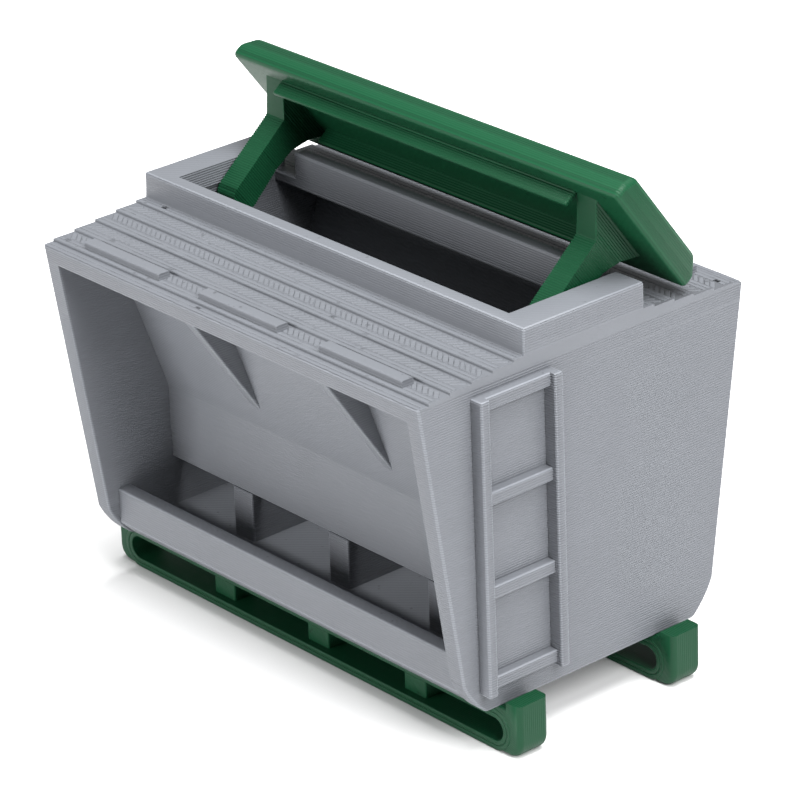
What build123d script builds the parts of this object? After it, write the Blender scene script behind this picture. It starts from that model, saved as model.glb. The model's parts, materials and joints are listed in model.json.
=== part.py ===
from build123d import *
import math
import os

# Small printed model of a skid-mounted, double-sided gravity feeder with a tilting lid.
# Millimetres. X runs along the body, Y from the front trough to the rear trough, Z up.
# The origin is on the ground, under the middle of the body.

# Driving dimensions
body_length = 44.0
body_width = 32.4
skid_height = 3.9           # the body's floor above the ground
layer = 0.2                 # height of one step of the roof

# End walls
wall_thickness = 1.5
wall_lean = 0.145           # inward lean of the front edge for each unit down
wall_toe_height = 2.75     # where the leaning edge turns into the rounded toe
wall_toe_inset = 5.55       # front of the wall's flat bottom edge
wall_toe_bulge = 0.15

# Roof: eave board and shallow steps up to the rim, measured in from the eave
eave_bottom = 24.9
eave_top = 26.3
roof_bottom_inner = 26.4
roof_step_starts = [1.0, 3.05, 5.1, 7.15, 9.2]
rim_inset = 10.2
rim_thickness = 1.2
rim_top = 29.4
rim_end_width = 2.85

# Roof bars, on the second step
bar_length = 9.2
bar_pitch = 14.0
bar_front = 1.5
bar_back = 2.6
bar_height = 0.55
bar_rounding = 0.15

# Hopper
hopper_top_inset = 5.5      # outer face of the sloping wall at the height of the eave's underside
hopper_slope = 0.345        # inward run of the sloping wall for each unit down
throat_inset = 10.07        # outer face of the vertical throat wall
throat_bottom = 5.27
hopper_wall = 1.1
liner_thickness = 1.25

# Floor, dividers and troughs
floor_top = 1.0
divider_width = 2.4
divider_pitch = 11.65
board_front = 4.45
board_thickness = 1.35
board_bottom = 1.3
board_top = 4.25

# Gussets under the roof
gusset_thickness = 1.1
gusset_right_faces = [-7.8, 7.8]
gusset_front = 1.64
gusset_foot = 13.6

# Ladder on the right end wall
ladder_left = 4.9
ladder_width = 8.0
stile_width = 0.85
stile_depth = 1.2
stile_bottom = 1.7
stile_top = 25.6
rung_depth = 0.75
rung_height = 1.05
rung_bottoms = [2.0, 9.42, 16.97, 24.55]

# Skids
skid_length = 48.2
skid_inset = 6.8
skid_width = 3.0
runner_thickness = 0.85
rail_thickness = 1.15
skid_tip_rise = 0.6
skid_tip_thickness = 1.6
skid_corner = 1.3
skid_edge = 0.5
skid_post_width = 2.5
skid_post_setback = 0.6
skid_post_centres = [-11.2, 0.3, 11.7]

# Lid, drawn closed on the rim and then opened about the hinge
lid_depth = 11.7
lid_thickness = 2.5
lid_edge_height = 1.1
lid_bevel = 0.9
lid_end_inset = 0.4
lid_gap = 0.04              # air under the closed lid
lid_open_angle = 53.2
lid_front_lip = 1.4         # front face of each lip behind the lid's front edge
lid_rear_lip = 7.5
lip_thickness = 0.4
lip_depth = 1.3
front_lip_length = 33.6
rear_lip_length = 32.0

# Arms and pins: the pins slide in arc slots, which turn the lid about an axis in the air
hinge_y = 6.06
hinge_z = 27.92
pin_drop = 3.04             # pin below the axis when the lid is closed; the pin is at Y 0
pin_radius = 0.6
pin_play = 0.1              # clearance round a pin in its slot
pin_end_gap = 0.2
arm_end_radius = 1.25
arm_foot_front = -4.24      # Y of the foot's corners on the closed lid
arm_foot_rear = 2.9
arm_front_bend = (-1.72, 31.34)     # Y and Z of the bends in the arm's edges, closed
arm_rear_bends = [(0.8, 28.3), (0.95, 30.2), (1.6, 31.8)]
arm_gap = 0.2               # air between an arm and the rim's end board
arm_thickness = 2.15
notch_margin = 0.15         # air between an arm and its notch in the rear rim board

half_length = body_length / 2
half_width = body_width / 2
inner_half_length = half_length - wall_thickness


def inset(distance):
    """Front Y coordinate of a point this far in from the eave."""
    return distance - half_width


def place(points):
    """Section points given as (distance in from the eave, height over the body's bottom)."""
    return [(inset(d), z + skid_height) for d, z in points]


def prism(points, x0, x1):
    """Solid with a constant Y-Z section between two X planes."""
    face = make_face(Polyline(*points, close=True))
    return Pos(x0, 0, 0) * extrude(Plane.YZ * face, x1 - x0)


def block(x0, x1, y0, y1, z0, z1):
    """Upright box between two corners."""
    return Pos((x0 + x1) / 2, (y0 + y1) / 2, (z0 + z1) / 2) * Box(x1 - x0, y1 - y0, z1 - z0)


def mirrored(shape):
    """The same piece on the rear side."""
    return mirror(shape, about=Plane.XZ)


def roof_underside(d):
    """Height of the roof's sloping underside, this far in from the eave."""
    start = wall_lean * (eave_top - eave_bottom)
    end = rim_inset + rim_thickness
    return eave_bottom + (d - start) / (end - start) * (roof_bottom_inner - eave_bottom)


def under_roof(offset):
    """Point where a line parallel to the sloping wall meets the roof's underside."""
    d = hopper_top_inset + offset
    for _ in range(20):
        d = hopper_top_inset + offset - hopper_slope * (roof_underside(d) - eave_bottom)
    return d, roof_underside(d)


def slope_height(d, offset=0.0):
    """Height on the sloping wall's face at this distance in from the eave."""
    return eave_bottom - (d - hopper_top_inset - offset) / hopper_slope


def end_wall(x0):
    """End wall: leaning front and rear edges, rounded toes and a top under the roof."""
    eave = (wall_lean * (eave_top - eave_bottom), eave_bottom)
    toe = (wall_lean * (eave_top - wall_toe_height), wall_toe_height)
    bottom = (wall_toe_inset, 0.0)
    middle = ((toe[0] + bottom[0]) / 2 - wall_toe_bulge, (toe[1] + bottom[1]) / 2 - wall_toe_bulge)
    ridge = (rim_inset + rim_thickness, roof_bottom_inner)
    front = place([ridge, eave, toe, middle, bottom])
    rear = [(-y, z) for y, z in front]
    outline = [
        Polyline(*front[:3]),
        ThreePointArc(*front[2:]),
        Line(front[4], rear[4]),
        ThreePointArc(rear[4], rear[3], rear[2]),
        Polyline(rear[2], rear[1], rear[0]),
        Line(rear[0], front[0]),
    ]
    return Pos(x0, 0, 0) * extrude(Plane.YZ * make_face(outline), wall_thickness)


def roof():
    """Front roof: eave board, sloping underside and shallow steps."""
    points = [(wall_lean * (eave_top - eave_bottom), eave_bottom), (0.0, eave_top)]
    height = eave_top
    for start in roof_step_starts:
        points += [(start, height), (start, height + layer)]
        height += layer
    inner = rim_inset + rim_thickness
    points += [(inner, height), (inner, roof_bottom_inner)]
    return prism(place(points), -half_length, half_length)


def hopper_section():
    """Corner points of the sloping wall's outer and inner faces."""
    normal_offset = hopper_wall * math.hypot(1.0, hopper_slope)
    outer_foot = slope_height(throat_inset)
    inner_foot = slope_height(throat_inset + hopper_wall, normal_offset)
    return under_roof(0.0), outer_foot, under_roof(normal_offset), inner_foot


def hopper_panel():
    """Front sloping wall of the hopper."""
    outer_top, outer_foot, inner_top, inner_foot = hopper_section()
    points = [outer_top, (throat_inset, outer_foot), (throat_inset + hopper_wall, inner_foot), inner_top]
    return prism(place(points), -inner_half_length, inner_half_length)


def throat_panel():
    """Front vertical wall under the slope, ending above the outlet windows."""
    _, outer_foot, _, inner_foot = hopper_section()
    back = throat_inset + hopper_wall
    points = [(throat_inset, throat_bottom), (throat_inset, outer_foot), (back, inner_foot), (back, throat_bottom)]
    return prism(place(points), -inner_half_length, inner_half_length)


def pin_slot(x0):
    """Arc slot about the lid's axis, from the pin's closed place to its open place."""
    reach = math.hypot(hinge_y, pin_drop)
    arc = CenterArc((hinge_y, hinge_z), reach, 180 - lid_open_angle / 2, lid_open_angle)
    slot = SlotArc(arc, 2 * (pin_radius + pin_play))
    return Pos(x0, 0, 0) * extrude(Plane.YZ * slot, inner_half_length - rim_face)


def hopper_liner(x0):
    """End plate inside the hopper, which carries a pin slot."""
    _, _, inner_top, inner_foot = hopper_section()
    back = throat_inset + hopper_wall
    ridge = (rim_inset + rim_thickness, roof_bottom_inner)
    front = place([ridge, inner_top, (back, inner_foot), (back, throat_bottom)])
    rear = [(-y, z) for y, z in reversed(front)]
    return prism(front + rear, x0, x0 + liner_thickness)


def trough_board():
    """Front board of the trough, with its lower edge cut to the floor."""
    back = board_front + board_thickness
    points = [(board_front, board_bottom), (board_front, board_top), (back, board_top), (back, 0.0)]
    points.append((board_front + board_bottom, 0.0))
    return prism(place(points), -inner_half_length, inner_half_length)


def gusset(right_face):
    """Triangular stiffener between the roof and the front sloping wall."""
    top = under_roof(0.0)
    foot = (hopper_top_inset + hopper_slope * (eave_bottom - gusset_foot), gusset_foot)
    front = (gusset_front, roof_underside(gusset_front))
    return prism(place([front, top, foot]), right_face - gusset_thickness, right_face)


def roof_bar(centre):
    """Low bar along the second step of the front roof."""
    bottom = eave_top + layer + skid_height
    bar = block(centre - bar_length / 2, centre + bar_length / 2,
                inset(bar_front), inset(bar_back), bottom, bottom + bar_height)
    return fillet(bar.edges().filter_by(Axis.X).group_by(Axis.Z)[-1], bar_rounding)


def skid_tip(side):
    """End of a front skid: it turns up past the body and closes the slot with a half round."""
    slot_radius = (skid_height - runner_thickness - rail_thickness) / 2
    slot_middle = runner_thickness + slot_radius
    tip = skid_length / 2
    shoulder = tip - skid_tip_thickness
    start = slot_end
    outline = [
        Polyline((start, 0.0), (tip - skid_corner, 0.0)),
        RadiusArc((tip - skid_corner, 0.0), (tip, skid_corner), -skid_corner),
        Polyline((tip, skid_corner), (tip, skid_height + skid_tip_rise), (shoulder, skid_height + skid_tip_rise),
                 (shoulder, skid_height), (start, skid_height), (start, 0.0)),
    ]
    face = make_face(outline) - Pos(start, slot_middle) * Circle(slot_radius)
    body = Pos(0, inset(skid_inset + skid_width), 0) * extrude(Plane.XZ * face, skid_width)
    corners = body.edges().filter_by(Axis.Z).group_by(Axis.X)[-1]
    body = fillet(corners, skid_edge)
    return body if side > 0 else mirror(body, about=Plane.YZ)


def skid_bar(z0, z1):
    """Straight runner or rail of a front skid, between its tips."""
    return block(-slot_end, slot_end, inset(skid_inset), inset(skid_inset + skid_width), z0, z1)


def skid_post(centre):
    """Short post in a front skid's slot, set back from the skid's face."""
    front = skid_inset + skid_post_setback
    back = skid_inset + skid_width - skid_post_setback
    return block(centre - skid_post_width / 2, centre + skid_post_width / 2,
                 inset(front), inset(back), runner_thickness, skid_height - rail_thickness)


def opened(shape):
    """Swing a piece of the lid from closed to open about the hinge."""
    hinge = Axis((0, hinge_y, hinge_z), (1, 0, 0))
    return shape.rotate(hinge, -lid_open_angle)


def lid_panel():
    """Lid panel, bevelled along the front and rear and slightly at the ends."""
    front = -lid_depth / 2
    rear = lid_depth / 2
    section = [(front, 0.0), (front, lid_edge_height), (front + lid_bevel, lid_thickness),
               (rear - lid_bevel, lid_thickness), (rear, lid_edge_height), (rear, 0.0)]
    panel = prism([(y, z + lid_bottom) for y, z in section], -half_length, half_length)
    ends = [(-half_length, 0.0), (-half_length, lid_edge_height), (lid_end_inset - half_length, lid_thickness)]
    ends += [(-x, z) for x, z in reversed(ends)]
    outline = make_face(Polyline(*[(x, z + lid_bottom) for x, z in ends], close=True))
    envelope = Pos(0, lid_depth, 0) * extrude(Plane.XZ * outline, 2 * lid_depth)
    return panel & envelope


def lid_lip(start, length):
    """Thin rib under the lid, which locates it in the mouth."""
    y0 = start - lid_depth / 2
    return block(-length / 2, length / 2, y0, y0 + lip_thickness, lid_bottom - lip_depth, lid_bottom)


def lid_arm(x0):
    """Arm: a foot on the lid that flares forwards, a straight leg and a round end."""
    outline = [(arm_foot_front, lid_bottom), arm_front_bend, (-arm_end_radius, pin_z), (arm_end_radius, pin_z),
               *arm_rear_bends, (arm_foot_rear, lid_bottom)]
    profile = make_face(Polyline(*outline, close=True)) + Pos(0, pin_z) * Circle(arm_end_radius)
    return Pos(x0, 0, 0) * extrude(Plane.YZ * profile, arm_thickness)


def lid_pin(x0):
    """Pin on the outer face of an arm, which slides in the slot."""
    return Pos(x0, 0, pin_z) * extrude(Plane.YZ * Circle(pin_radius), pin_length)


slot_end = skid_length / 2 - 2.75
lid_bottom = rim_top + skid_height + lid_gap
roof_top = eave_top + layer * len(roof_step_starts)
liner_face = inner_half_length - liner_thickness
rim_face = half_length - rim_end_width
arm_outer = rim_face - arm_gap
arm_inner = arm_outer - arm_thickness
pin_length = inner_half_length - pin_end_gap - arm_outer
pin_z = hinge_z - pin_drop
rim_inner = inset(rim_inset + rim_thickness)
divider_front = inset(throat_inset)

nodes = {}

nodes["left_end_wall"] = end_wall(-half_length)
nodes["right_end_wall"] = end_wall(inner_half_length)
left_slot = pin_slot(-inner_half_length)
right_slot = pin_slot(rim_face)
nodes["left_hopper_liner"] = hopper_liner(-inner_half_length) - left_slot
nodes["right_hopper_liner"] = hopper_liner(liner_face) - right_slot

front_pieces = {
    "roof": roof(),
    "hopper_panel": hopper_panel(),
    "throat_panel": throat_panel(),
    "trough_board": trough_board(),
    "left_gusset": gusset(gusset_right_faces[0]),
    "right_gusset": gusset(gusset_right_faces[1]),
    "left_roof_bar": roof_bar(-bar_pitch),
    "middle_roof_bar": roof_bar(0.0),
    "right_roof_bar": roof_bar(bar_pitch),
    "skid_runner": skid_bar(0.0, runner_thickness),
    "skid_rail": skid_bar(skid_height - rail_thickness, skid_height),
    "skid_left_tip": skid_tip(-1),
    "skid_right_tip": skid_tip(1),
    "skid_left_post": skid_post(skid_post_centres[0]),
    "skid_middle_post": skid_post(skid_post_centres[1]),
    "skid_right_post": skid_post(skid_post_centres[2]),
}
for name, shape in front_pieces.items():
    nodes["front_" + name] = shape
    nodes["rear_" + name] = mirrored(shape)

# The rim stands on the roof; its rear board stops short of the end boards to let the arms by.
rim_foot = roof_top + skid_height
rim_height = rim_top + skid_height
notch_end = arm_inner - notch_margin
end_foot = roof_bottom_inner + skid_height
nodes["front_rim"] = block(-half_length, half_length, inset(rim_inset), rim_inner, rim_foot, rim_height)
nodes["rear_rim"] = block(-notch_end, notch_end, -rim_inner, -inset(rim_inset), rim_foot, rim_height)
for name, side, slot in (("left", -1, left_slot), ("right", 1, right_slot)):
    x0, x1 = sorted((side * half_length, side * rim_face))
    lower = block(x0, x1, rim_inner, -rim_inner, end_foot, rim_height)
    upper = block(x0, x1, -rim_inner, -inset(rim_inset), rim_foot, rim_height)
    nodes[name + "_rim"] = lower + upper - slot

nodes["floor"] = block(-inner_half_length, inner_half_length,
                       inset(board_front + board_thickness), -inset(board_front + board_thickness),
                       skid_height, skid_height + floor_top)
for name, centre in (("left", -divider_pitch), ("middle", 0.0), ("right", divider_pitch)):
    nodes[name + "_divider"] = block(centre - divider_width / 2, centre + divider_width / 2,
                                     divider_front, -divider_front,
                                     skid_height + floor_top, skid_height + throat_bottom)

# Ladder: two stiles and four rungs on the outside of the right end wall.
for name, start in (("front", ladder_left), ("rear", ladder_left + ladder_width - stile_width)):
    nodes["ladder_" + name + "_stile"] = block(half_length, half_length + stile_depth,
                                               inset(start), inset(start + stile_width),
                                               skid_height + stile_bottom, skid_height + stile_top)
for number, bottom in enumerate(rung_bottoms, 1):
    nodes["ladder_rung_%d" % number] = block(half_length, half_length + rung_depth,
                                             inset(ladder_left + stile_width),
                                             inset(ladder_left + ladder_width - stile_width),
                                             skid_height + bottom, skid_height + bottom + rung_height)

# Lid with its arms and pins, standing open.
nodes["lid_panel"] = opened(lid_panel())
nodes["lid_front_lip"] = opened(lid_lip(lid_front_lip, front_lip_length))
nodes["lid_rear_lip"] = opened(lid_lip(lid_rear_lip, rear_lip_length))
nodes["left_lid_arm"] = opened(lid_arm(-arm_outer))
nodes["right_lid_arm"] = opened(lid_arm(arm_inner))
nodes["left_lid_pin"] = opened(lid_pin(-arm_outer - pin_length))
nodes["right_lid_pin"] = opened(lid_pin(arm_outer))

os.makedirs("parts", exist_ok=True)
for name, shape in nodes.items():
    export_step(shape, "parts/" + name + ".step")
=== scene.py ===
import json
import math

import bmesh
import bpy
from mathutils import Matrix, Vector
from mathutils.bvhtree import BVHTree


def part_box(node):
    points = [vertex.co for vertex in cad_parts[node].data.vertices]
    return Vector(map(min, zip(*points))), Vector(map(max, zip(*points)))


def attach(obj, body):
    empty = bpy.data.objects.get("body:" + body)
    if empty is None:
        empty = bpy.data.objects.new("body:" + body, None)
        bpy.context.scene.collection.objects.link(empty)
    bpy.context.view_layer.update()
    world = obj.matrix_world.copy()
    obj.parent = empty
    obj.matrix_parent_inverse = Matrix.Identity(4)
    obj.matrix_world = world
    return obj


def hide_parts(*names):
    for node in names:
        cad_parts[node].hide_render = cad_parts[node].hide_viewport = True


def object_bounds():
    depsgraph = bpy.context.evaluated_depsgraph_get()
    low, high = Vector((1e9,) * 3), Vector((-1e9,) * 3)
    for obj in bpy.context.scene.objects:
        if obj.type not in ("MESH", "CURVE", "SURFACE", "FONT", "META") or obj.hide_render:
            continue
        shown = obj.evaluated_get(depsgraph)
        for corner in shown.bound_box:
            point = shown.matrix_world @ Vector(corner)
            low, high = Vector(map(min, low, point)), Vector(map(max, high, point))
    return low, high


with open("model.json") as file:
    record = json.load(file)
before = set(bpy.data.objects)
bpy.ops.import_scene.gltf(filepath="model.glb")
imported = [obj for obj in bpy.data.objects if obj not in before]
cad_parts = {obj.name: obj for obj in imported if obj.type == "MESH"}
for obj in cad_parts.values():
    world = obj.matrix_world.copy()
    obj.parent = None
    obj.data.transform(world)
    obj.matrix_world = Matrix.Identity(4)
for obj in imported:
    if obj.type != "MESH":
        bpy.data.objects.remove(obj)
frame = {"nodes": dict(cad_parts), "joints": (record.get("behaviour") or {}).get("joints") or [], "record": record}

# Looks of a small printed gravity feeder: a grey body, green skids and a green lid on two arms.
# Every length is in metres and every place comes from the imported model.

cad_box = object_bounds()
MM = 0.001
LAYER = 0.2 * MM            # height of one printed layer
TRACK = 0.42 * MM           # width of one printed track
GROOVE = 0.008 * MM         # depth of the groove between two layers
CORNER_RIDGE = 5.0          # the grooves are this much deeper round a corner
LID_ANGLE = math.radians(frame["joints"][0]["range_deg"][1])

UP = Vector((0.0, 0.0, 1.0))
ALONG_LENGTH = Vector((1.0, 0.0, 0.0))
ALONG_WIDTH = Vector((0.0, 1.0, 0.0))
LID_NORMAL = Vector((0.0, math.sin(LID_ANGLE), math.cos(LID_ANGLE)))

BODY_NODES = frame["record"]["behaviour"]["bodies"]["body"]
LID_NODES = frame["record"]["behaviour"]["bodies"]["lid"]
SKID_NODES = [n for n in BODY_NODES if "skid" in n]
GREY_NODES = [n for n in BODY_NODES if "skid" not in n]
SHELL_NODES = ["front_roof", "rear_roof", "left_end_wall", "right_end_wall",
               "front_rim", "rear_rim", "left_rim", "right_rim"]
STEP_STARTS = [1.0 * MM, 3.05 * MM, 5.1 * MM, 7.15 * MM, 9.2 * MM]  # roof steps, in from the eave
RIM_WIDTH = 1.2 * MM
TREAD_MARGIN = 0.80 * MM    # from the roof's ends to the middle of the last track

# How the pieces are rounded and cut
SHELL_RADIUS = 0.18 * MM
PANEL_RADIUS = 0.16 * MM
SKID_RADIUS = 0.22 * MM
POST_RADIUS = 0.15 * MM
LID_RADIUS = 0.45 * MM
ARM_RADIUS = 0.12 * MM
LADDER_GROOVE = 0.014 * MM
LID_GROOVE = 0.004 * MM
ARM_GROOVE = 0.016 * MM
SHARP_EDGE = math.radians(25.0)     # flatter edges are not rounded
FLUSH = math.radians(0.5)           # faces this close to one plane become one face
SMOOTH_LIMIT = math.radians(38.0)   # sharper edges are shaded as creases
ROUND_CORNER = math.radians(15.0)   # faces that turn more than this at a point make a corner
EDGE_SAMPLES = (0.15, 0.5, 0.85)    # places along an edge that are tested for a neighbour
PROBE_REACH = 0.03 * MM
ROOM = 2.2                          # shortest edge beside a rounding, in radii
TOUCH = 0.1 * MM                    # boxes closer than this count as neighbours
WELD = 1e-6
RAY_STEP = 1e-7
CUT_SNAP = 1e-8
TINY = 1e-9
LAYER_CUTS = (0.0, 0.22, 0.78)      # joint, start and end of the rib, as shares of a layer
JOINT_BAND = 0.05                   # share of a layer that counts as its joint
FLAT_FACE = 0.7                     # a face this square to the layers' axis keeps its place
UPRIGHT = 0.3                       # least sideways part of a normal that is drawn in


# ---------------------------------------------------------------- shader maths

class Socket:
    """A shader socket that can be used in an expression. Each operator adds its Math node."""

    def __init__(self, tree, link):
        self.tree = tree
        self.link = link

    def node(self, kind, settings=None, inputs=None, output=0):
        """Add any node: its settings first, then the values or links of its sockets."""
        made = self.tree.nodes.new(kind)
        for name, value in (settings or {}).items():
            setattr(made, name, value)
        for key, value in (inputs or {}).items():
            if isinstance(value, Socket):
                self.tree.links.new(value.link, made.inputs[key])
            else:
                made.inputs[key].default_value = value
        return Socket(self.tree, made.outputs[output])

    def math(self, operation, first, second=0.0):
        return self.node("ShaderNodeMath", {"operation": operation}, {0: first, 1: second})

    def __add__(self, other):
        return self.math("ADD", self, other)

    def __radd__(self, other):
        return self.math("ADD", other, self)

    def __sub__(self, other):
        return self.math("SUBTRACT", self, other)

    def __rsub__(self, other):
        return self.math("SUBTRACT", other, self)

    def __mul__(self, other):
        return self.math("MULTIPLY", self, other)

    def __rmul__(self, other):
        return self.math("MULTIPLY", other, self)

    def __truediv__(self, other):
        return self.math("DIVIDE", self, other)

    def wave(self):
        """Triangle wave of this value: 0 at each whole number and 1 half way between."""
        return self.math("PINGPONG", self, 0.5) * 2.0

    def between(self, low, high):
        """0 below low, 1 above high and smooth between."""
        return self.node("ShaderNodeMapRange", {"interpolation_type": "SMOOTHSTEP"},
                         {0: self, 1: low, 2: high})


def along(field, position, axis):
    """Distance along an axis, for each point of the surface."""
    return field.node("ShaderNodeVectorMath", {"operation": "DOT_PRODUCT"},
                      {0: position, 1: tuple(axis)}, output=1)


def noise(field, position, scale, detail=2.0):
    return field.node("ShaderNodeTexNoise", {}, {"Vector": position, "Scale": scale, "Detail": detail})


def printed_plastic(name, color, axis, roughness=0.42, gloss=0.35):
    """Satin printed plastic: layers along axis, tracks on the faces across it, faint bands, pitting darkened with
    painted shade, and a painted highlight on rounded edges.
    """
    skin = 0.45         # relief of the tracks on flat faces
    layers = 0.11       # relief of the layers on upright faces
    painted_edge_highlight = 0.34    # painted highlight: lightening of the rounded edges in the base colour
    material = bpy.data.materials.new(name)
    material.use_nodes = True
    tree = material.node_tree
    shader = tree.nodes["Principled BSDF"]
    start = Socket(tree, None)
    position = start.node("ShaderNodeTexCoord", output=3)
    normal = start.node("ShaderNodeNewGeometry", output=1)
    height = along(start, position, axis)
    flat = start.math("ABSOLUTE", along(start, normal, axis)).between(0.85, 0.97)
    u = along(start, position, ALONG_LENGTH)
    v = along(start, position, axis.cross(ALONG_LENGTH))

    # Tracks run one way on one layer and the other way on the next.
    turn = start.math("MODULO", start.math("FLOOR", height / LAYER + 0.25), 2.0)
    diagonal = (u + v * (turn * 2.0 - 1.0)) / (TRACK * math.sqrt(2.0))
    tracks = (diagonal + noise(start, position, 900.0) * 0.35).wave()
    grain = noise(start, position, 4200.0, 3.0)
    # Pitting: a real bump on flat faces, plus painted shade that darkens the base colour inside each hollow.
    pits_and_pit_shade = noise(start, position, 1500.0, 1.0).between(0.70, 0.78)

    # One layer is never laid quite like the next.
    level = start.math("FLOOR", height / LAYER)
    band = start.node("ShaderNodeTexWhiteNoise", {"noise_dimensions": "1D"}, {"W": level})
    seam = (height / LAYER).wave()
    smear = noise(start, position, 240.0)

    top = flat * (tracks * 0.7 + grain * 0.3 - pits_and_pit_shade * 0.8) * skin
    wall = (1.0 - flat) * (seam * 0.5 + band * 0.25 + grain * 0.2) * layers
    bump = start.node("ShaderNodeBump", {}, {"Strength": 0.5, "Distance": 0.05 * MM, "Height": top + wall})
    tree.links.new(bump.link, shader.inputs["Normal"])

    # Painted highlight: the base colour of rounded edges is lightened, in one bright rib for each layer.
    edge = start.node("ShaderNodeAttribute", {"attribute_name": "edge"}, output=2)
    painted_edge_ribs = edge * (seam * painted_edge_highlight + painted_edge_highlight * 0.25)
    # Tone: random bands, smears and grain, with painted shade darkening the pitting and the painted edge highlight
    # on rounded faces.
    shade = 0.93 + band * 0.03 * (1.0 - flat) + smear * 0.09 + grain * 0.04 - flat * pits_and_pit_shade * 0.35 + painted_edge_ribs
    value = start.node("ShaderNodeHueSaturation", {}, {"Value": shade, "Color": (*color, 1.0)})
    tree.links.new(value.link, shader.inputs["Base Color"])
    rough = roughness + grain * 0.10 + band * 0.05 - flat * 0.04
    tree.links.new(rough.link, shader.inputs["Roughness"])
    shader.inputs["Specular IOR Level"].default_value = gloss
    return material


# ---------------------------------------------------------------- printed pieces

trees = {}
for cad_name, cad_object in frame["nodes"].items():
    corners = [v.co.copy() for v in cad_object.data.vertices]
    faces = [tuple(p.vertices) for p in cad_object.data.polygons]
    trees[cad_name] = (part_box(cad_name), BVHTree.FromPolygons(corners, faces))


def holds(cad_name, point):
    """True if a CAD node's solid holds this point."""
    (low, high), tree = trees[cad_name]
    if any(point[i] < low[i] or point[i] > high[i] for i in range(3)):
        return False
    direction = Vector((0.31, 0.52, 0.795)).normalized()    # along no face of the model
    count = 0
    place = point.copy()
    while True:
        hit, _, _, _ = tree.ray_cast(place, direction)
        if hit is None:
            return count % 2 == 1
        count += 1
        place = hit + direction * RAY_STEP


def exposed(edge, own):
    """True if a convex edge isn't covered by a neighbouring piece at most of its sample points."""
    if len(edge.link_faces) != 2:
        return False
    one, two = edge.link_faces
    if one.normal.angle(two.normal, 0.0) < SHARP_EDGE:
        return False
    inner = (two.calc_center_median() - edge.verts[0].co).dot(one.normal)
    if inner > -TINY:
        return False
    step = PROBE_REACH
    open_samples = 0
    for share in EDGE_SAMPLES:
        middle = edge.verts[0].co.lerp(edge.verts[1].co, share)
        probes = [middle + (one.normal + two.normal) * step,
                  middle + (one.normal - two.normal) * step,
                  middle + (two.normal - one.normal) * step]
        covered = any(holds(name, probe) for name in own for probe in probes)
        open_samples += not covered
    return open_samples >= 2


def roomy(edge, radius):
    """True if every edge that meets this one's ends is long enough for this rounding."""
    return all(e.calc_length() > ROOM * radius for vert in edge.verts for e in vert.link_edges)


def neighbours(cad_name, group):
    """Nodes of the same print whose boxes touch this one's."""
    low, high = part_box(cad_name)
    found = []
    for other in group:
        a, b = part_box(other)
        meets = all(a[i] < high[i] + TOUCH and b[i] > low[i] - TOUCH for i in range(3))
        if other != cad_name and meets:
            found.append(other)
    return found


def cut_layers(bm, axis, base, depth):
    """Cut a solid at every layer and draw the joints in, so that each layer stands as a rib."""
    heights = [v.co.dot(axis) for v in bm.verts]
    low, high = min(heights), max(heights)
    rest = set(bm.faces)
    first = math.floor((low - base) / LAYER)
    last = math.ceil((high - base) / LAYER)
    for index in range(first, last + 1):
        for share in LAYER_CUTS:
            level = base + (index + share) * LAYER
            if level <= low + RAY_STEP or level >= high - RAY_STEP:
                continue
            geometry = set(rest)
            for face in rest:
                geometry.update(face.edges)
                geometry.update(face.verts)
            cut = bmesh.ops.bisect_plane(bm, geom=list(geometry), dist=CUT_SNAP,
                                         plane_co=axis * level, plane_no=axis)
            rest = {g for g in cut["geom"] if isinstance(g, bmesh.types.BMFace)
                    and max(v.co.dot(axis) for v in g.verts) > level + CUT_SNAP}
    bm.normal_update()
    moves = []
    for vert in bm.verts:
        phase = (vert.co.dot(axis) - base) / LAYER
        if abs(phase - round(phase)) > JOINT_BAND:
            continue
        if any(abs(face.normal.dot(axis)) > FLAT_FACE for face in vert.link_faces):
            continue
        outward = vert.normal - axis * vert.normal.dot(axis)
        if outward.length > UPRIGHT:
            sides = [face.normal for face in vert.link_faces]
            spread = max((one.angle(two, 0.0) for one in sides for two in sides), default=0.0)
            deeper = CORNER_RIDGE if spread > ROUND_CORNER else 1.0
            moves.append((vert, outward.normalized() * depth * deeper))
    for vert, move in moves:
        vert.co -= move


def fused(cad_names):
    """One solid mesh from CAD nodes that were printed as one and lie flush."""
    pieces = []
    for cad_name in cad_names:
        bm = bmesh.new()
        bm.from_mesh(frame["nodes"][cad_name].data)
        bmesh.ops.remove_doubles(bm, verts=bm.verts, dist=WELD)
        for vert in bm.verts:
            vert.co /= MM
        mesh = bpy.data.meshes.new(cad_name + "_solid")
        bm.to_mesh(mesh)
        bm.free()
        piece = bpy.data.objects.new(cad_name + "_solid", mesh)
        bpy.context.scene.collection.objects.link(piece)
        pieces.append(piece)
    whole = pieces[0]
    for other in pieces[1:]:
        union = whole.modifiers.new("union", "BOOLEAN")
        union.operation = "UNION"
        union.solver = "EXACT"
        union.object = other
        depsgraph = bpy.context.evaluated_depsgraph_get()
        result = bpy.data.meshes.new_from_object(whole.evaluated_get(depsgraph))
        whole.modifiers.remove(union)
        whole.data = result
    bm = bmesh.new()
    bm.from_mesh(whole.data)
    for vert in bm.verts:
        vert.co *= MM
    for piece in pieces:
        bpy.data.objects.remove(piece)
    return bm


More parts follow.
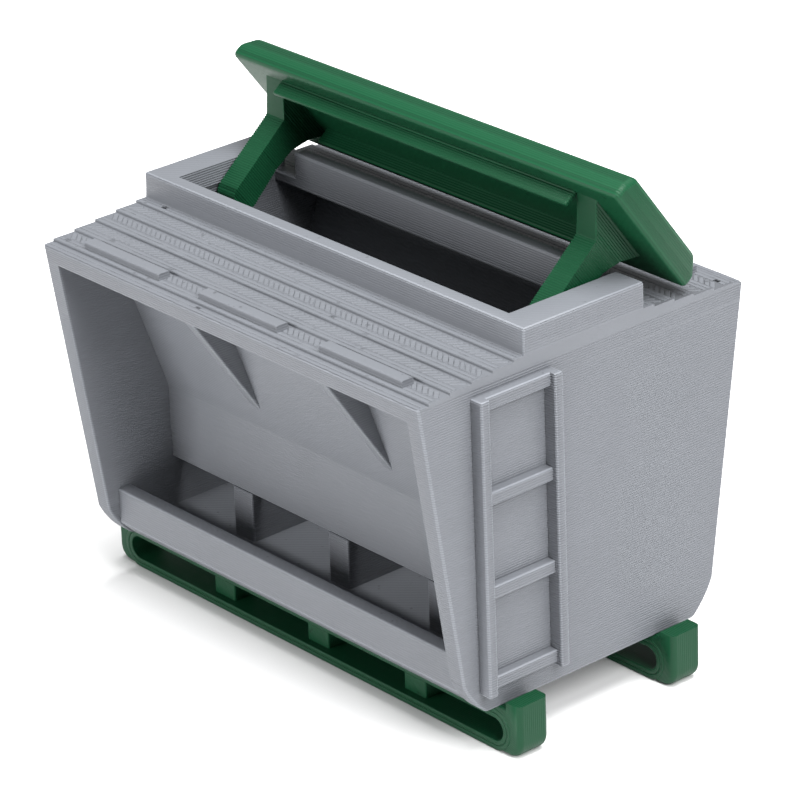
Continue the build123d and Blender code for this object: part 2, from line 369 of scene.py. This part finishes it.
def printed_piece(name, cad_names, body, group, material, axis, base, radius, depth=GROOVE):
    """Piece with the exact form of its CAD nodes, rounded where it is exposed and built up in layers."""
    bm = fused(cad_names)
    painted_highlight_mark = bm.faces.layers.float.new("edge")
    bmesh.ops.remove_doubles(bm, verts=bm.verts, dist=WELD)
    bmesh.ops.dissolve_limit(bm, angle_limit=FLUSH, verts=bm.verts, edges=bm.edges)
    bm.normal_update()
    own = [n for cad_name in cad_names for n in neighbours(cad_name, group) if n not in cad_names]
    edges = [e for e in bm.edges if roomy(e, radius) and exposed(e, own)]
    rounded = bmesh.ops.bevel(bm, geom=edges, offset=radius, segments=3, profile=0.5, affect="EDGES")
    # The rounded faces are marked so the material paints a highlight on them.
    for face in rounded["faces"]:
        face[painted_highlight_mark] = 1.0
    bmesh.ops.dissolve_degenerate(bm, dist=RAY_STEP, edges=bm.edges)
    cut_layers(bm, axis, base, depth)
    bmesh.ops.recalc_face_normals(bm, faces=bm.faces)
    mesh = bpy.data.meshes.new(name + "_print")
    bm.to_mesh(mesh)
    bm.free()
    mesh.shade_smooth()
    mesh.set_sharp_from_angle(angle=SMOOTH_LIMIT)
    mesh.materials.append(material)
    piece = bpy.data.objects.new(name + "_print", mesh)
    bpy.context.scene.collection.objects.link(piece)
    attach(piece, body)
    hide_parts(*cad_names)
    return piece


# ---------------------------------------------------------------- tracks laid in rows and rings

TRACK_SIDES = 8
TRACK_THINNEST = 0.82       # the plastic never flows quite evenly
TRACK_THICKEST = 1.12
FRONT_TRACKS = (0.6, 1.55)  # straight tracks along a tread's front edge, in track widths
FRONT_TRACKS_WIDTH = 1.9
WIDE_TREAD = 1.5 * MM       # a narrower tread has no diagonal tracks
DIAGONAL = math.radians(45.0)
RINGS = 2
CORNER_POINTS = 12
ALMOST_HALF = 0.499         # a corner's radius, as a share of the ring's height

class Tree:
    """A Geometry Nodes tree: named inputs, nodes by type, and the result's material."""

    def __init__(self, name, inputs):
        self.group = bpy.data.node_groups.new(name, "GeometryNodeTree")
        self.keys = {}
        face = self.group.interface
        face.new_socket("Geometry", in_out="INPUT", socket_type="NodeSocketGeometry")
        for label, kind in inputs:
            self.keys[label] = face.new_socket(label, in_out="INPUT", socket_type=kind).identifier
        face.new_socket("Geometry", in_out="OUTPUT", socket_type="NodeSocketGeometry")
        self.source = self.group.nodes.new("NodeGroupInput")

    def given(self, label):
        return self.source.outputs[label]

    def node(self, kind, settings=None, inputs=None, output=0):
        made = self.group.nodes.new(kind)
        for key, value in (settings or {}).items():
            setattr(made, key, value)
        for key, value in (inputs or {}).items():
            if isinstance(value, bpy.types.NodeSocket):
                self.group.links.new(value, made.inputs[key])
            else:
                made.inputs[key].default_value = value
        return made.outputs[output]

    def finish(self, geometry):
        real = self.node("GeometryNodeRealizeInstances", {}, {"Geometry": geometry})
        smooth = self.node("GeometryNodeSetShadeSmooth", {}, {"Geometry": real})
        done = self.node("GeometryNodeSetMaterial", {},
                         {"Geometry": smooth, "Material": self.given("Material")})
        result = self.group.nodes.new("NodeGroupOutput")
        self.group.links.new(done, result.inputs[0])

    def grow(self, name, guide, values, body, slot):
        """Run the tree on a guide mesh and keep the result as one plain mesh."""
        holder = bpy.data.objects.new(name + "_guide", guide)
        bpy.context.scene.collection.objects.link(holder)
        modifier = holder.modifiers.new("grow", "NODES")
        modifier.node_group = self.group
        for label, value in values.items():
            modifier[self.keys[label]] = value
        depsgraph = bpy.context.evaluated_depsgraph_get()
        mesh = bpy.data.meshes.new_from_object(holder.evaluated_get(depsgraph))
        holder.modifiers.remove(modifier)
        bpy.data.objects.remove(holder)
        piece = bpy.data.objects.new(name, mesh)
        bpy.context.scene.collection.objects.link(piece)
        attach(piece, body)
        return piece


def track_rows():
    """Tree: slim diagonal tracks along each guide line, turned by the line's own attribute."""
    tree = Tree("track_rows", [("Pitch", "NodeSocketFloat"), ("Length", "NodeSocketFloat"),
                               ("Half width", "NodeSocketFloat"), ("Flatness", "NodeSocketFloat"),
                               ("Seed", "NodeSocketInt"), ("Material", "NodeSocketMaterial")])
    lines = tree.node("GeometryNodeMeshToCurve", {}, {"Mesh": tree.given("Geometry")})
    spots = tree.node("GeometryNodeResampleCurve", {"mode": "LENGTH"},
                      {"Curve": lines, "Length": tree.given("Pitch")})
    half = tree.node("ShaderNodeMath", {"operation": "MULTIPLY"}, {0: tree.given("Length"), 1: 0.5})
    back = tree.node("ShaderNodeMath", {"operation": "MULTIPLY"}, {0: tree.given("Length"), 1: -0.5})
    start = tree.node("ShaderNodeCombineXYZ", {}, {0: back})
    end = tree.node("ShaderNodeCombineXYZ", {}, {0: half})
    run = tree.node("GeometryNodeCurvePrimitiveLine", {}, {"Start": start, "End": end})
    ring = tree.node("GeometryNodeCurvePrimitiveCircle", {},
                     {"Resolution": TRACK_SIDES, "Radius": tree.given("Half width")})
    track = tree.node("GeometryNodeCurveToMesh", {},
                      {"Curve": run, "Profile Curve": ring, "Fill Caps": True})
    flat = tree.node("ShaderNodeCombineXYZ", {}, {0: 1.0, 1: 1.0, 2: tree.given("Flatness")})
    pressed = tree.node("GeometryNodeTransform", {}, {"Geometry": track, "Scale": flat})
    turn = tree.node("GeometryNodeInputNamedAttribute", {"data_type": "FLOAT"}, {"Name": "turn"})
    jitter = tree.node("FunctionNodeRandomValue", {"data_type": "FLOAT"},
                       {2: TRACK_THINNEST, 3: TRACK_THICKEST, "Seed": tree.given("Seed")}, output=1)
    rotation = tree.node("ShaderNodeCombineXYZ", {}, {2: turn})
    size = tree.node("ShaderNodeCombineXYZ", {}, {0: 1.0, 1: jitter, 2: jitter})
    placed = tree.node("GeometryNodeInstanceOnPoints", {},
                       {"Points": spots, "Instance": pressed, "Rotation": rotation, "Scale": size})
    tree.finish(placed)
    return tree


def slot_rings(count):
    """Tree: tracks round a long slot in closed rings, one outside the other, at each guide point."""
    tree = Tree("slot_rings", [("Slot length", "NodeSocketFloat"), ("Slot height", "NodeSocketFloat"),
                               ("Spacing", "NodeSocketFloat"), ("Half width", "NodeSocketFloat"),
                               ("Flatness", "NodeSocketFloat"), ("Material", "NodeSocketMaterial")])
    profile = tree.node("GeometryNodeCurvePrimitiveCircle", {},
                        {"Resolution": TRACK_SIDES, "Radius": tree.given("Half width")})
    join = tree.group.nodes.new("GeometryNodeJoinGeometry")
    for number in range(count):
        grown = tree.node("ShaderNodeMath", {"operation": "MULTIPLY"},
                          {0: tree.given("Spacing"), 1: 2.0 * number + 1.0})
        width = tree.node("ShaderNodeMath", {"operation": "ADD"}, {0: tree.given("Slot length"), 1: grown})
        height = tree.node("ShaderNodeMath", {"operation": "ADD"}, {0: tree.given("Slot height"), 1: grown})
        box = tree.node("GeometryNodeCurvePrimitiveQuadrilateral", {}, {"Width": width, "Height": height})
        radius = tree.node("ShaderNodeMath", {"operation": "MULTIPLY"}, {0: height, 1: ALMOST_HALF})
        rounded = tree.node("GeometryNodeFilletCurve", {"mode": "POLY"},
                            {"Curve": box, "Radius": radius, "Count": CORNER_POINTS})
        ring = tree.node("GeometryNodeCurveToMesh", {}, {"Curve": rounded, "Profile Curve": profile})
        tree.group.links.new(ring, join.inputs[0])
    flat = tree.node("ShaderNodeCombineXYZ", {}, {0: 1.0, 1: 1.0, 2: tree.given("Flatness")})
    pressed = tree.node("GeometryNodeTransform", {}, {"Geometry": join.outputs[0], "Scale": flat})
    upright = tree.node("GeometryNodeTransform", {},
                        {"Geometry": pressed, "Rotation": (math.radians(90.0), 0.0, 0.0)})
    placed = tree.node("GeometryNodeInstanceOnPoints", {},
                       {"Points": tree.given("Geometry"), "Instance": upright})
    tree.finish(placed)
    return tree


def tread_tracks(material):
    """Tracks on the treads of both roofs: two along each front edge and diagonal ones behind them."""
    rows = []
    for roof, sense in (("front_roof", 1.0), ("rear_roof", -1.0)):
        low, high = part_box(roof)
        eave = low.y if sense > 0 else high.y
        edges = [0.0, *STEP_STARTS, high.y - low.y - RIM_WIDTH]
        for number, (near, far) in enumerate(zip(edges, edges[1:])):
            height = high.z - LAYER * (len(STEP_STARTS) - number)
            reach = high.x - TREAD_MARGIN
            for step in FRONT_TRACKS:
                rows.append((eave + sense * (near + step * TRACK), height, reach, 0.0))
            if far - near > WIDE_TREAD:
                turn = DIAGONAL * (-1.0 if number % 2 else 1.0)
                middle = (near + far + FRONT_TRACKS_WIDTH * TRACK) / 2
                rows.append((eave + sense * middle, height, reach, turn))
    guide = bpy.data.meshes.new("tread_lines")
    ends = [end for y, z, reach, turn in rows for end in ((-reach, y, z), (reach, y, z))]
    guide.from_pydata(ends, [(2 * i, 2 * i + 1) for i in range(len(rows))], [])
    turns = guide.attributes.new("turn", "FLOAT", "POINT")
    turns.data.foreach_set("value", [turn for row in rows for turn in (row[3], row[3])])
    sizes = {"Pitch": TRACK * math.sqrt(2.0), "Length": 1.15 * MM, "Half width": 0.20 * MM,
             "Flatness": 0.075, "Seed": 7, "Material": material}
    return track_rows().grow("tread_tracks", guide, sizes, "body", "grey")


def skid_rings(material):
    """Rings of tracks round the slots, on both faces of both skids."""
    faces = []
    for side in ("front", "rear"):
        rail_low, rail_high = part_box(side + "_skid_rail")
        runner_low, runner_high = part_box(side + "_skid_runner")
        middle = (runner_high.z + rail_low.z) / 2
        faces += [(0.0, rail_low.y, middle), (0.0, rail_high.y, middle)]
        slot_height = rail_low.z - runner_high.z
        slot_length = runner_high.x - runner_low.x + slot_height
    guide = bpy.data.meshes.new("slot_places")
    guide.from_pydata(faces, [], [])
    sizes = {"Slot length": slot_length, "Slot height": slot_height, "Spacing": 0.40 * MM,
             "Half width": 0.19 * MM, "Flatness": 0.16, "Material": material}
    return slot_rings(RINGS).grow("skid_slot_rings", guide, sizes, "body", "green")


GREY = (0.128, 0.1355, 0.1500)
GREEN = (0.0032, 0.041, 0.0165)
grey = printed_plastic("grey_print", GREY, UP)
skid_green = printed_plastic("green_skid_print", GREEN, ALONG_WIDTH, roughness=0.40, gloss=0.2)
lid_green = printed_plastic("green_lid_print", GREEN, LID_NORMAL, roughness=0.40, gloss=0.2)

lid_base = min(v.co.dot(LID_NORMAL) for v in frame["nodes"]["lid_panel"].data.vertices)

printed_piece("roof_and_walls", SHELL_NODES, "body", GREY_NODES, grey, UP, 0.0, SHELL_RADIUS)
for name in [n for n in GREY_NODES if n not in SHELL_NODES]:
    ridge = LADDER_GROOVE if "ladder" in name else GROOVE
    printed_piece(name, [name], "body", GREY_NODES, grey, UP, 0.0, PANEL_RADIUS, ridge)
for side in ("front", "rear"):
    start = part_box(side + "_skid_rail")[0].y
    frame_nodes = [n for n in SKID_NODES if n.startswith(side) and not n.endswith("post")]
    printed_piece(side + "_skid", frame_nodes, "body", SKID_NODES, skid_green,
                  ALONG_WIDTH, start, SKID_RADIUS)
    for name in [n for n in SKID_NODES if n.startswith(side) and n.endswith("post")]:
        printed_piece(name, [name], "body", SKID_NODES, skid_green,
                      ALONG_WIDTH, start, POST_RADIUS)
for name in LID_NODES:
    round_over, ridge = (LID_RADIUS, LID_GROOVE) if name == "lid_panel" else (ARM_RADIUS, ARM_GROOVE)
    printed_piece(name, [name], "lid", LID_NODES, lid_green,
                  LID_NORMAL, lid_base, round_over, ridge)
tread_tracks(grey)
skid_rings(skid_green)


# ---------------------------------------------------------------- floor, lights, camera

def stage_floor():
    mesh = bpy.data.meshes.new("floor_sheet")
    half = 1.5
    corners = [(-half, -half, 0), (half, -half, 0), (half, half, 0), (-half, half, 0)]
    mesh.from_pydata(corners, [], [(0, 1, 2, 3)])
    material = bpy.data.materials.new("pale_floor")
    material.use_nodes = True
    shader = material.node_tree.nodes["Principled BSDF"]
    shader.inputs["Base Color"].default_value = (0.80, 0.80, 0.80, 1.0)
    shader.inputs["Roughness"].default_value = 0.9
    mesh.materials.append(material)
    sheet = bpy.data.objects.new("floor_sheet", mesh)
    bpy.context.scene.collection.objects.link(sheet)


def area_light(name, place, aim, size, power):
    data = bpy.data.lights.new(name, "AREA")
    data.size = size
    data.energy = power
    lamp = bpy.data.objects.new(name, data)
    lamp.location = place
    lamp.rotation_euler = (Vector(aim) - Vector(place)).to_track_quat("-Z", "Y").to_euler()
    bpy.context.scene.collection.objects.link(lamp)


stage_floor()
world = bpy.data.worlds.new("studio")
world.use_nodes = True
world.node_tree.nodes["Background"].inputs["Color"].default_value = (1.0, 1.0, 1.0, 1.0)
world.node_tree.nodes["Background"].inputs["Strength"].default_value = 0.32
bpy.context.scene.world = world
bpy.context.scene.view_settings.view_transform = "Standard"

centre = (cad_box[0] + cad_box[1]) / 2
area_light("overhead_softbox", (0.10, 0.02, 0.55), centre, 0.40, 6.8)
area_light("right_softbox", (0.50, -0.05, 0.42), centre, 0.30, 3.9)
area_light("front_softbox", (-0.14, -0.54, 0.13), centre, 0.26, 2.4)


def camera():
    azimuth = math.radians(49.85)
    elevation = math.radians(24.58)
    roll = math.radians(2.318)
    distance = 342.12 * MM
    look_at = Vector((0.0, 0.05, 17.15)) * MM
    shift_right = 0.471 * MM
    shift_up = 1.378 * MM
    back = Vector((math.sin(azimuth) * math.cos(elevation),
                   -math.cos(azimuth) * math.cos(elevation), math.sin(elevation)))
    right = UP.cross(back).normalized()
    above = back.cross(right)
    level_right = right * math.cos(roll) - above * math.sin(roll)
    level_above = right * math.sin(roll) + above * math.cos(roll)
    aim = look_at + level_right * shift_right + level_above * shift_up
    data = bpy.data.cameras.new("camera")
    data.sensor_width = 36.0
    data.lens = 198.99
    data.clip_start = 0.01
    eye = bpy.data.objects.new("camera", data)
    bpy.context.scene.collection.objects.link(eye)
    place = aim + back * distance
    turn = [(level_right[i], level_above[i], back[i], place[i]) for i in range(3)]
    eye.matrix_world = Matrix([*turn, (0.0, 0.0, 0.0, 1.0)])
    bpy.context.scene.camera = eye


camera()
